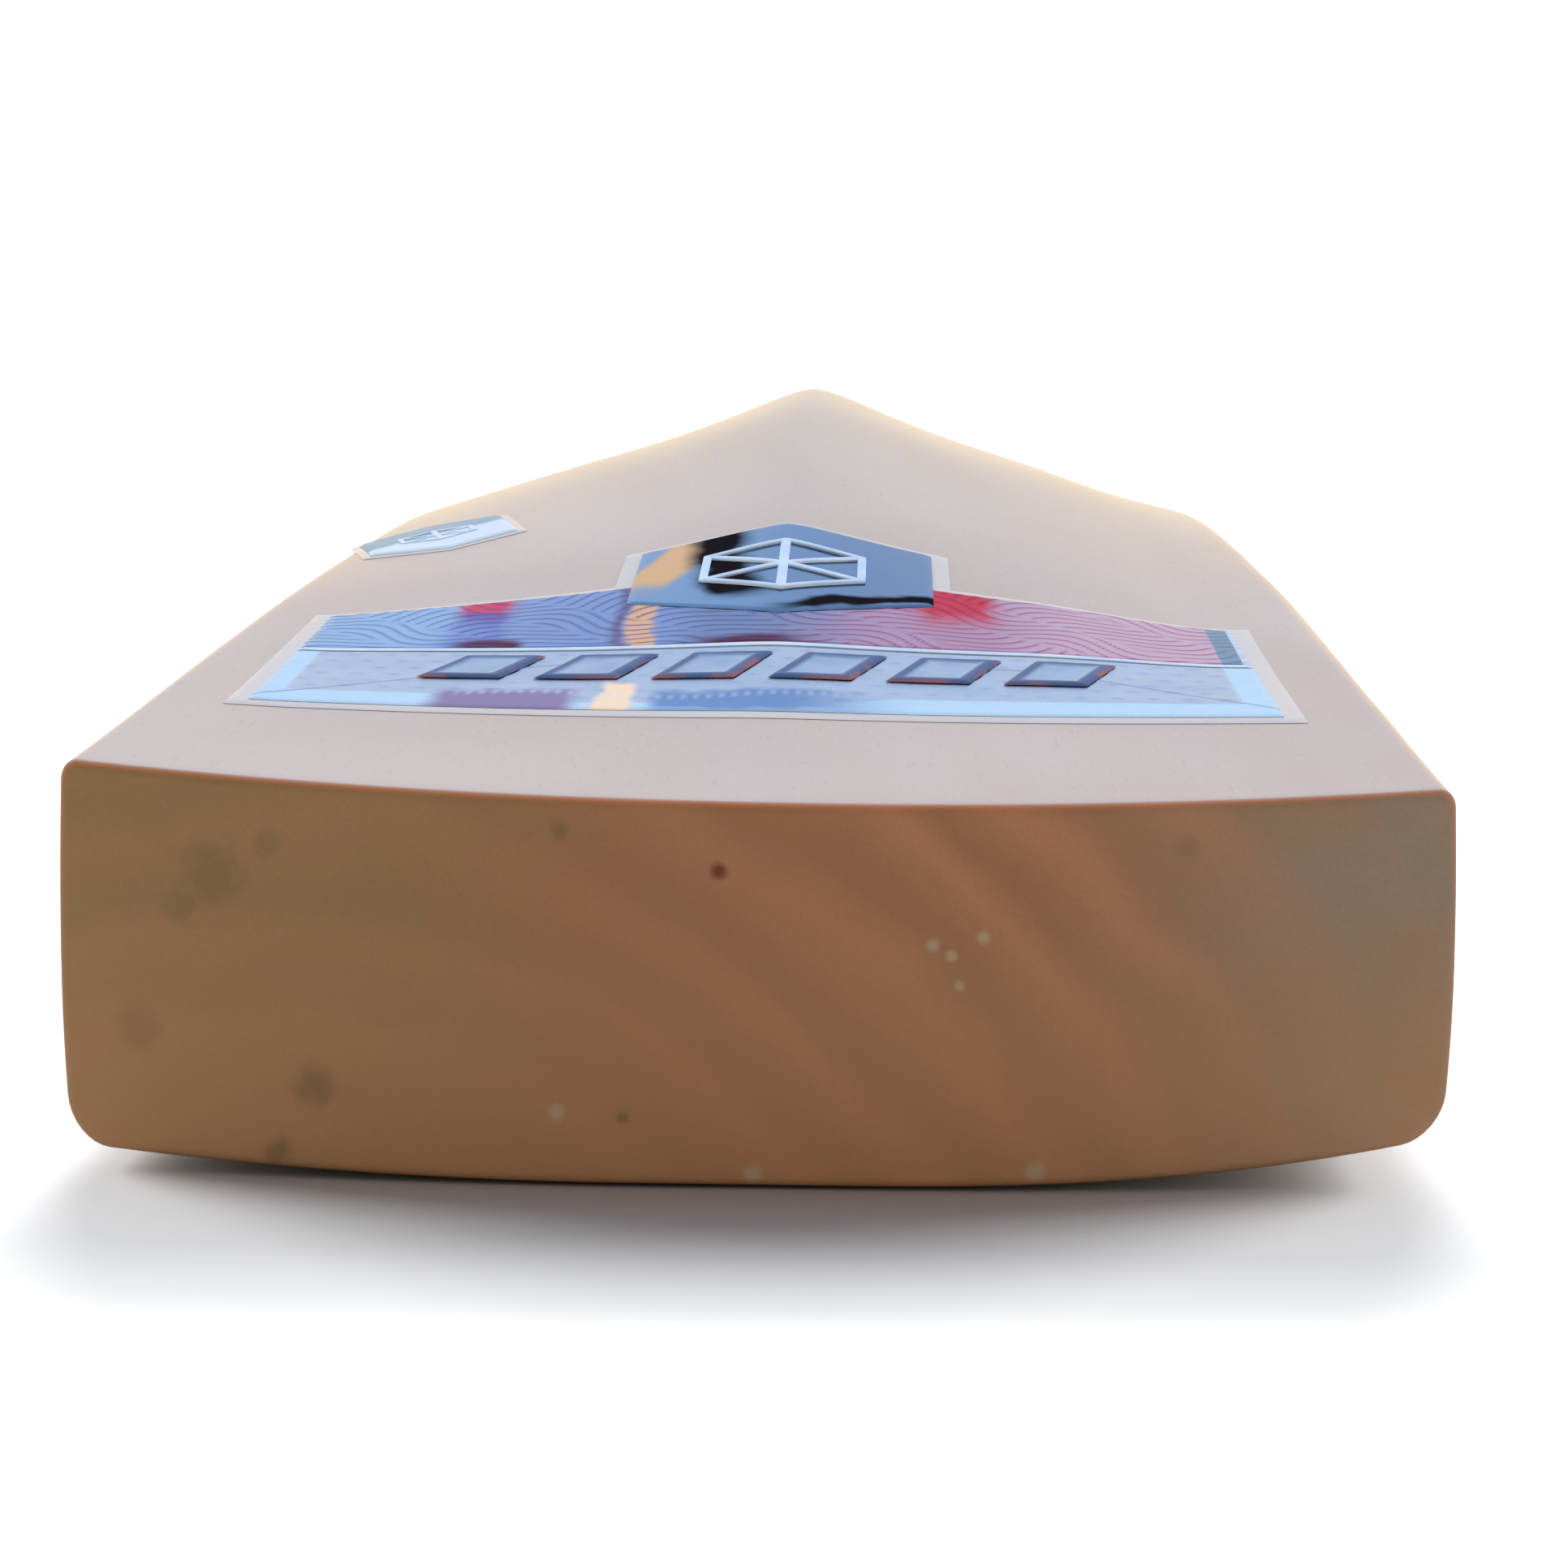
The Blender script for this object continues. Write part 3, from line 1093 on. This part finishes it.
def emblem_sheets(radius, line, centre, lift, height, degrees=0):
    """A hexagonal ring standing on a corner and three bars from corner to corner. A ring point lies on the
    straight line between two corners, at a radius that shrinks across the ring's width."""
    share, rise = BAND_SECTION.T
    turn = np.linspace(0, 6, 61)
    corner = np.exp(1j * np.pi * (np.arange(8) / 3 + 0.5))
    index = np.floor(turn).astype(int)
    rim = mix(corner[index], corner[index + 1], turn - index)[:, None] * (radius - line * share)[None]
    sheets = [emblem_band(rim.real, rim.imag, rise * height, centre, degrees, lift)]
    reach = radius - line / 2
    for bar in range(3):
        along_bar = np.linspace(-reach, reach, 25)[:, None]
        point = (along_bar + 1j * line * (share - 0.5)[None]) * corner[bar]
        bar_rise = rise * height * (0.96 - 0.05 * bar)
        sheet = emblem_band(point.real, point.imag, bar_rise, centre, degrees, lift)
        sheets += [sheet, cap(sheet[0], 2), cap(sheet[-1], 2)]
    return sheets


def make_badge_emblem():
    sheets = emblem_sheets(EMBLEM_RADIUS, EMBLEM_LINE, (0, BADGE_CENTRE), BADGE_TOP_LIFT, EMBLEM_RISE)
    make_decal("raised_emblem", sheets, "badge_emblem", bright_foil)


def bar_colours(n, at):
    """A bar: slate blue with a pale sunken face and copper along its rim."""
    face = n.blend(n.clouds(at, 300.0), srgb(190, 204, 226), srgb(168, 186, 214))
    colour = n.blend(n.attribute("rim"), face, srgb(86, 104, 142))
    copper = n.times(n.attribute("edge"), n.step(n.noise(at, 220.0, 2.0), 0.4, 0.62))
    ink = n.times(n.attribute("rim"), 0.6)
    return n.blend(n.times(copper, 0.85), colour, srgb(190, 110, 84)), ink


def make_bars():
    """Plain leaning bars, each with a raised rim round a sunken face."""
    low = DIVIDER_STATION - BAR_BELOW_DIVIDER - BAR_HEIGHT
    ink = make_foil("bar_ink", bar_colours, 0.2)
    across, up = np.meshgrid(np.linspace(0, 1, 34), np.linspace(0, 1, 38))
    for index in range(BAR_COUNT):
        left = (index - (BAR_COUNT - 1) / 2) * BAR_PITCH - (BAR_WIDTH + BAR_LEAN) / 2

        def inset(x, y, left=left):
            share = (y - low) / BAR_HEIGHT
            from_left = x - left - BAR_LEAN * share
            across_gap = np.minimum(from_left, BAR_WIDTH - from_left)
            return np.minimum(across_gap, np.minimum(y - low, low + BAR_HEIGHT - y))

        x = left + BAR_WIDTH * across + BAR_LEAN * up
        y = low + BAR_HEIGHT * up
        distance = inset(x, y)
        relief = BAR_RIM_RISE * smooth(distance / 0.5) - BAR_FACE_SINK * smooth((distance - 1.2) / 0.5)
        sheets = plate_sheets(x, y, FOIL_LIFT + FOIL_THICKNESS + 0.08, BAR_THICKNESS, relief)
        marks = {
            "rim": lambda x, y: 1 - smooth((inset(x, y) - 1) / 0.6),
            "edge": lambda x, y: 1 - smooth(inset(x, y) / 0.7),
        }
        make_decal(f"bar_{index + 1}", sheets, f"label_bar_{index + 1}", ink, marks)


def side_badge_sheets(grow, lift, thickness, rim_rise):
    """A turned hexagon that stands on a point, a little larger by grow, with its rim rounded over."""
    half, tall = SIDE_BADGE_HALF_WIDTH + grow, SIDE_BADGE_HALF_HEIGHT + grow
    share = np.linspace(-1, 1, 41)[:, None]
    u = np.concatenate([np.linspace(-half, 0, 16), np.linspace(0, half, 16)])[None]
    v = share * (tall - SIDE_BADGE_CORNER_RISE * np.abs(u) / half)
    u = u + 0 * share
    turn = np.radians(SIDE_BADGE_TURN)
    x = SIDE_BADGE_X + u * np.cos(turn) - v * np.sin(turn)
    y = SIDE_BADGE_STATION + u * np.sin(turn) + v * np.cos(turn)
    rim = np.minimum(half - np.abs(u), tall * (1 - np.abs(share)))
    return plate_sheets(x, y, lift, thickness, rim_rise * smooth(rim / 0.7))


def side_colours(n, at):
    """The side badge: white silver with a grey-green patch on its far left half."""
    centre = (-SIDE_BADGE_X * MM, -(TOE + SIDE_BADGE_STATION) * MM, 0)
    x, y, _ = n.axes(n.mapping(at, location=centre))
    wobble = n.scaled(n.noise(at, 120.0, 2.0), 0.005, -0.0025)
    slant = n.scaled(x, -0.8, n.math("ADD", y, wobble))
    patch = within(n, slant, 0.0006, 0.0165, 0.0014)
    return n.blend(n.times(patch, 0.85), srgb(220, 230, 240), srgb(140, 166, 178)), 0.6


def make_side_badge():
    film_sheets = side_badge_sheets(1, FILM_LIFT, FILM_THICKNESS, 0)
    make_decal("side_badge_backing", film_sheets, "side_badge_film", film)
    foil = make_foil("side_foil", side_colours, 0.24, 0.000002)
    foil_sheets = side_badge_sheets(0, FOIL_LIFT, FOIL_THICKNESS, 0.08)
    make_decal("side_badge_plate", foil_sheets, "side_badge_foil", foil)
    centre = (SIDE_BADGE_X, SIDE_BADGE_STATION)
    lift = FOIL_LIFT + FOIL_THICKNESS + 0.09
    size = (SIDE_EMBLEM_RADIUS, SIDE_EMBLEM_LINE)
    mark = emblem_sheets(*size, centre, lift, SIDE_EMBLEM_RISE, SIDE_BADGE_TURN)
    make_decal("side_badge_mark", mark, "side_badge_emblem", bright_foil)


make_label_film()
make_lower_panel()
make_divider()
make_upper_panel()
make_badge()
make_badge_emblem()
make_bars()
make_side_badge()


# ---- Handle ----
HALVINGS = 26


def oval_share(s):
    """0 up to the shoulders' top, 1 where the handle has become an oval."""
    return smooth((s - BLADE_LENGTH) / NECK_BLEND)


def core_half(s):
    """Half the cane's width: the splice's V, then the handle after a short blend."""
    wedge = np.interp(s, [SPLICE_START, BLADE_LENGTH], [SPLICE_TIP_WIDTH / 2, SPLICE_HALF])
    return mix(wedge, HANDLE_WIDTH / 2, oval_share(s))


def core_height(x, s, side):
    """The cane's back (side 1) or face (-1): the blade's own surface along the splice, and half an ellipse
    along the handle."""
    in_blade = np.minimum(s, BLADE_LENGTH)
    flush = back_height(x, in_blade) if side > 0 else face_height(x, in_blade)
    dome = np.sqrt(np.clip(1 - (x / core_half(s)) ** 2, 0, 1))
    return mix(flush, HANDLE_AXIS_HEIGHT + side * HANDLE_DEPTH / 2 * dome, oval_share(s))


def strip_sheets(left, right, low, high):
    """One strip of the cane, between two planes across and two heights, inside the cane's outline. Its
    outer side, where the outline cuts the strip's depth to nothing, is found by halving."""
    inner = max(left, 0)
    start = np.interp(inner, [SPLICE_TIP_WIDTH / 2, SPLICE_HALF], [SPLICE_START, BLADE_LENGTH])
    s = runs(
        (start, BLADE_LENGTH, 60),
        (BLADE_LENGTH + 0.5, BLADE_LENGTH + NECK_BLEND, 26),
        (BLADE_LENGTH + NECK_BLEND + 2, TOTAL_LENGTH - 0.2, 26),
        (TOTAL_LENGTH, TOTAL_LENGTH, 1),
    )[:, None]

    def bottom(x):
        return np.maximum(low, core_height(x, s, -1))

    def top(x):
        return np.minimum(high, core_height(x, s, 1))

    near, far = inner + 0 * s, np.minimum(right, core_half(s))
    outside = far.copy()
    for _ in range(HALVINGS):
        middle = (near + far) / 2
        solid = top(middle) >= bottom(middle)
        near, far = np.where(solid, middle, near), np.where(solid, far, middle)
    full = top(outside) >= bottom(outside)
    reach = np.where(full, outside, near)
    share = (1 - np.cos(np.pi * np.linspace(0, 1, 15)[None])) / 2
    x = mix(np.maximum(left, -reach), reach, share)
    upper, lower = place(x, s, top(x)), place(x, s, np.minimum(bottom(x), top(x)))
    depth = np.linspace(0, 1, 4)[None, :, None]
    sides = [mix(upper[:, edge, None], lower[:, edge, None], depth) for edge in (0, -1)]
    ends = [mix(upper[edge, :, None], lower[edge, :, None], depth) for edge in (0, -1)]
    return [upper, lower, *sides, *ends]


def mirrored(sheets):
    """The same sheets on the other side of the bat's middle plane."""
    return [sheet * np.array([-1, 1, 1]) for sheet in sheets]


def cane_end(x, y):
    """1 on the handle's sawn end."""
    return smooth((y - TOTAL_LENGTH + 0.2) / 0.2) + 0 * x


def make_cane():
    spring_count = SLAB_COUNT - 1
    slab = (HANDLE_WIDTH - spring_count * (SPRING_THICKNESS + 2 * GLUE_LINE)) / SLAB_COUNT
    pitch = slab + SPRING_THICKNESS + 2 * GLUE_LINE
    middle_low = HANDLE_AXIS_HEIGHT - MIDDLE_ROW_DEPTH / 2
    middle_high = HANDLE_AXIS_HEIGHT + MIDDLE_ROW_DEPTH / 2
    rows = {
        "face": (-np.inf, middle_low - GLUE_LINE / 2),
        "middle": (middle_low + GLUE_LINE / 2, middle_high - GLUE_LINE / 2),
        "back": (middle_high + GLUE_LINE / 2, np.inf),
    }
    inner_left = SPRING_THICKNESS / 2 + GLUE_LINE
    spans = {"bc": (inner_left, inner_left + slab), "ad": (inner_left + pitch, 2 * HALF_WIDTH)}
    marks = {"cane_end": cane_end}
    for letters, (left, right) in spans.items():
        for row, (low, high) in rows.items():
            sheets = strip_sheets(left, right, low, high)
            for letter, shape in zip(letters, (mirrored(sheets), sheets)):
                name = f"{letter}_{row}"
                make_piece(f"cane_strip_{name}", shape, f"cane_{name}", cane, CANE_CREASE, marks)
    spring_left = inner_left + slab + GLUE_LINE
    side_spring = strip_sheets(spring_left, spring_left + SPRING_THICKNESS, -np.inf, np.inf)
    middle_spring = strip_sheets(-SPRING_THICKNESS / 2, SPRING_THICKNESS / 2, -np.inf, np.inf)
    springs = {"left": mirrored(side_spring), "centre": middle_spring, "right": side_spring}
    for side, sheets in springs.items():
        node_name = f"rubber_spring_{side}"
        make_piece(f"spring_{side}", sheets, node_name, spring_rubber, CANE_CREASE)


def sleeve_sheets(stations, columns, inner, outer):
    """A sleeve round the cane: its inside at one offset from the cane, its outside at the offset that
    outer(station, angle) gives, and the two rings that close its ends."""
    angle = np.linspace(0, 2 * np.pi, columns + 1)[None]

    def oval(s, offset):
        x = (HANDLE_WIDTH / 2 + offset) * np.cos(angle)
        return place(x, s, HANDLE_AXIS_HEIGHT + (HANDLE_DEPTH / 2 + offset) * np.sin(angle))

    s = stations[:, None]
    outside = oval(s, outer(s, angle))
    inside = oval(stations[[0, -1], None], inner)
    return [outside, inside, np.stack([outside[0], inside[0]]), np.stack([outside[-1], inside[-1]])]


def make_binding():
    """Twine wound in touching turns: half-round ridges on a helix where it shows, plain under the grip."""
    start, end = BLADE_LENGTH + BINDING_START, TOTAL_LENGTH - BINDING_END_GAP
    shown = BLADE_LENGTH + GRIP_START + 3
    stations = runs((start, shown, 150), (shown + 1, end, 12))

    def outer(s, angle):
        turn = (s / TWINE_PITCH - angle / (2 * np.pi)) % 1
        ridge = np.sqrt(1 - (2 * turn - 1) ** 2)
        depth = TWINE_DEPTH * np.where(s < shown, 1, 0) * smooth((s - start) / 0.3)
        return SLEEVE_CLEARANCE + BINDING_WALL - depth * (1 - ridge)

    sheets = sleeve_sheets(stations, 120, SLEEVE_CLEARANCE, outer)
    make_piece("wound_twine", sheets, "twine_binding", twine, SLEEVE_CREASE)


def make_grip():
    """A rubber sleeve with rounded bands at its ends and chevron ribs between them."""
    start, end = BLADE_LENGTH + GRIP_START, TOTAL_LENGTH - GRIP_END_GAP
    inner = 2 * SLEEVE_CLEARANCE + BINDING_WALL
    stations = runs((start, start + 14, 60), (start + 14.8, end - 14.8, 300), (end - 14, end, 60))

    def outer(s, angle):
        from_end = np.minimum(s - start, end - s)
        fold = np.abs(angle / np.pi * GRIP_CHEVRONS % 2 - 1)
        rib = bump(((s + GRIP_CHEVRON_RISE * fold) / GRIP_RIB_PITCH % 1 - 0.5) * GRIP_RIB_PITCH, 1.9)
        ribbed = smooth((from_end - GRIP_BAND_LENGTH - 3) / 2)
        band = GRIP_BAND_WALL * (1 - smooth((from_end - GRIP_BAND_LENGTH) / 1.4))
        groove = bump((from_end - 1.5) % GRIP_GROOVE_PITCH - GRIP_GROOVE_PITCH / 2, 0.6)
        grooves = GRIP_GROOVE_DEPTH * groove * (from_end < GRIP_BAND_LENGTH - 0.4)
        lip = GRIP_LIP * (1 - np.sqrt(1 - np.clip(1 - from_end / GRIP_LIP, 0, 1) ** 2))
        wall = GRIP_WALL - GRIP_RIB_DEPTH * ribbed * (1 - rib)
        return inner + wall + band - grooves - lip

    sheets = sleeve_sheets(stations, 132, inner, outer)
    make_piece("rubber_grip", sheets, "grip", grip_rubber, SLEEVE_CREASE)


make_cane()
make_binding()
make_grip()


# ---- Camera, light and floor ----
LENS, SENSOR_WIDTH = 73.6, 36
CAMERA_X, CAMERA_Y, CAMERA_HEIGHT = 9.784, -238.0, 57.064
CAMERA_TURN, CAMERA_DOWN, CAMERA_ROLL = 0.0296, 0.11, 0.0072


def make_camera():
    """A long lens low in front of the toe, a little to its right, looking slightly down along the bat."""
    camera = bpy.data.cameras.new("camera")
    camera.sensor_width = SENSOR_WIDTH
    camera.lens = LENS
    camera.clip_start = 0.01
    view = bpy.data.objects.new("camera", camera)
    bpy.context.scene.collection.objects.link(view)
    flat = np.cos(CAMERA_DOWN)
    ahead = Vector((-np.sin(CAMERA_TURN) * flat, np.cos(CAMERA_TURN) * flat, -np.sin(CAMERA_DOWN)))
    sideways = Vector((np.cos(CAMERA_TURN), np.sin(CAMERA_TURN), 0))
    above = sideways.cross(ahead)
    right = sideways * np.cos(CAMERA_ROLL) + above * np.sin(CAMERA_ROLL)
    up = above * np.cos(CAMERA_ROLL) - sideways * np.sin(CAMERA_ROLL)
    axes = Matrix((right, up, -ahead)).transposed().to_4x4()
    axes.translation = Vector(place(CAMERA_X, CAMERA_Y, CAMERA_HEIGHT).tolist())
    view.matrix_world = axes
    bpy.context.scene.camera = view


DOME_STRENGTH = 0.6
FLOOR_HALF, FLOOR_DROP = 4.0, -0.0002


def make_sky():
    """Studio light. A dome gives the fill and what the foil mirrors: dim in front of the toe, and behind
    the bat a warm strip low down, steel blue above it and grey overhead. The backdrop is seen as plain
    white."""
    world = bpy.data.worlds.new("studio")
    bpy.context.scene.world = world
    world.use_nodes = True
    n = Nodes(world.node_tree)
    out = world.node_tree.nodes["World Output"]
    dome, backdrop = world.node_tree.nodes["Background"], n.add("ShaderNodeBackground")
    _, y, z = n.axes(n.add("ShaderNodeTexCoord").outputs["Generated"])
    colour = n.ramp(
        n.most(z, 0.0),
        [
            (0.0, (3.6, 2.5, 1.2)),
            (0.12, (3.2, 2.3, 1.2)),
            (0.2, (1.6, 1.55, 1.5)),
            (0.27, (1.35, 1.5, 1.7)),
            (0.5, (1.2, 1.4, 1.7)),
            (0.75, (0.8, 0.9, 1.05)),
            (1.0, (0.7, 0.8, 0.9)),
        ],
    )
    rear = n.step(y, -0.45, 0.55, 0.1, 1.0)
    n.feed(dome.inputs["Color"], colour)
    n.feed(dome.inputs["Strength"], n.times(rear, DOME_STRENGTH))
    backdrop.inputs["Color"].default_value = (1, 1, 1, 1)
    backdrop.inputs["Strength"].default_value = 1.0
    choose = n.add("ShaderNodeMixShader")
    n.feed(choose.inputs[0], n.add("ShaderNodeLightPath").outputs["Is Camera Ray"])
    n.feed(choose.inputs[1], dome.outputs[0])
    n.feed(choose.inputs[2], backdrop.outputs[0])
    n.feed(out.inputs["Surface"], choose.outputs[0])


def make_sun(name, colour, strength, spread, azimuth, elevation):
    """A far wide lamp that gloss doesn't mirror. Azimuth goes from straight behind the bat round to its
    left; azimuth, elevation and spread are in degrees."""
    lamp = bpy.data.lights.new(name, "SUN")
    lamp.energy = strength
    lamp.angle = np.radians(spread)
    lamp.color = colour
    light = bpy.data.objects.new(name, lamp)
    bpy.context.scene.collection.objects.link(light)
    rise, turn = np.radians([elevation, azimuth])
    away = Vector((-np.sin(turn) * np.cos(rise), np.cos(turn) * np.cos(rise), np.sin(rise)))
    light.rotation_euler = away.to_track_quat("Z", "X").to_euler()
    light.visible_glossy = False
    return light


def light_only(light, pieces):
    """Keeps a lamp to some pieces, so that the table and the bat can each have their own."""
    lit = bpy.data.collections.new("lit_by_" + light.name)
    for piece in pieces:
        lit.objects.link(piece)
    light.light_linking.receiver_collection = lit


def make_floor():
    """A wide white table just under the bat. The camera sees it brighter than the bat does, so that it
    stays white round the shadow without lighting the toe from below."""
    around = ((-1, -1), (1, -1), (1, 1), (-1, 1))
    corners = [(x * FLOOR_HALF, y * FLOOR_HALF, FLOOR_DROP) for x, y in around]
    mesh = bpy.data.meshes.new("floor")
    mesh.from_pydata(corners, [], [(0, 1, 2, 3)])
    n, shader, material = new_material("white_table", Roughness=0.9)
    seen = n.add("ShaderNodeLightPath").outputs["Is Camera Ray"]
    n.feed(shader.inputs["Base Color"], n.blend(seen, (0.44, 0.435, 0.43), (0.92, 0.92, 0.92)))
    shader.inputs["Specular IOR Level"].default_value = 0.1
    mesh.materials.append(material)
    floor = bpy.data.objects.new("floor", mesh)
    bpy.context.scene.collection.objects.link(floor)
    return floor


make_camera()
make_sky()
pieces = [item for item in bpy.context.scene.objects if item.type == "MESH"]
table = make_floor()
light_only(make_sun("front_fill", (0.98, 0.965, 0.95), 1.02, 60, 180, 12), pieces)
for side in (-1, 1):
    light_only(make_sun(f"key_{side}", (0.86, 0.95, 1.12), 1.74, 54, 34 * side, 48), pieces)
    light_only(make_sun(f"table_key_{side}", (1, 1, 1), 5.1, 34, 56 * side, 18), [table])
light_only(make_sun("table_rear_key", (1, 1, 1), 5.9, 36, 0, 24), [table])
bpy.context.scene.view_settings.view_transform = "Standard"
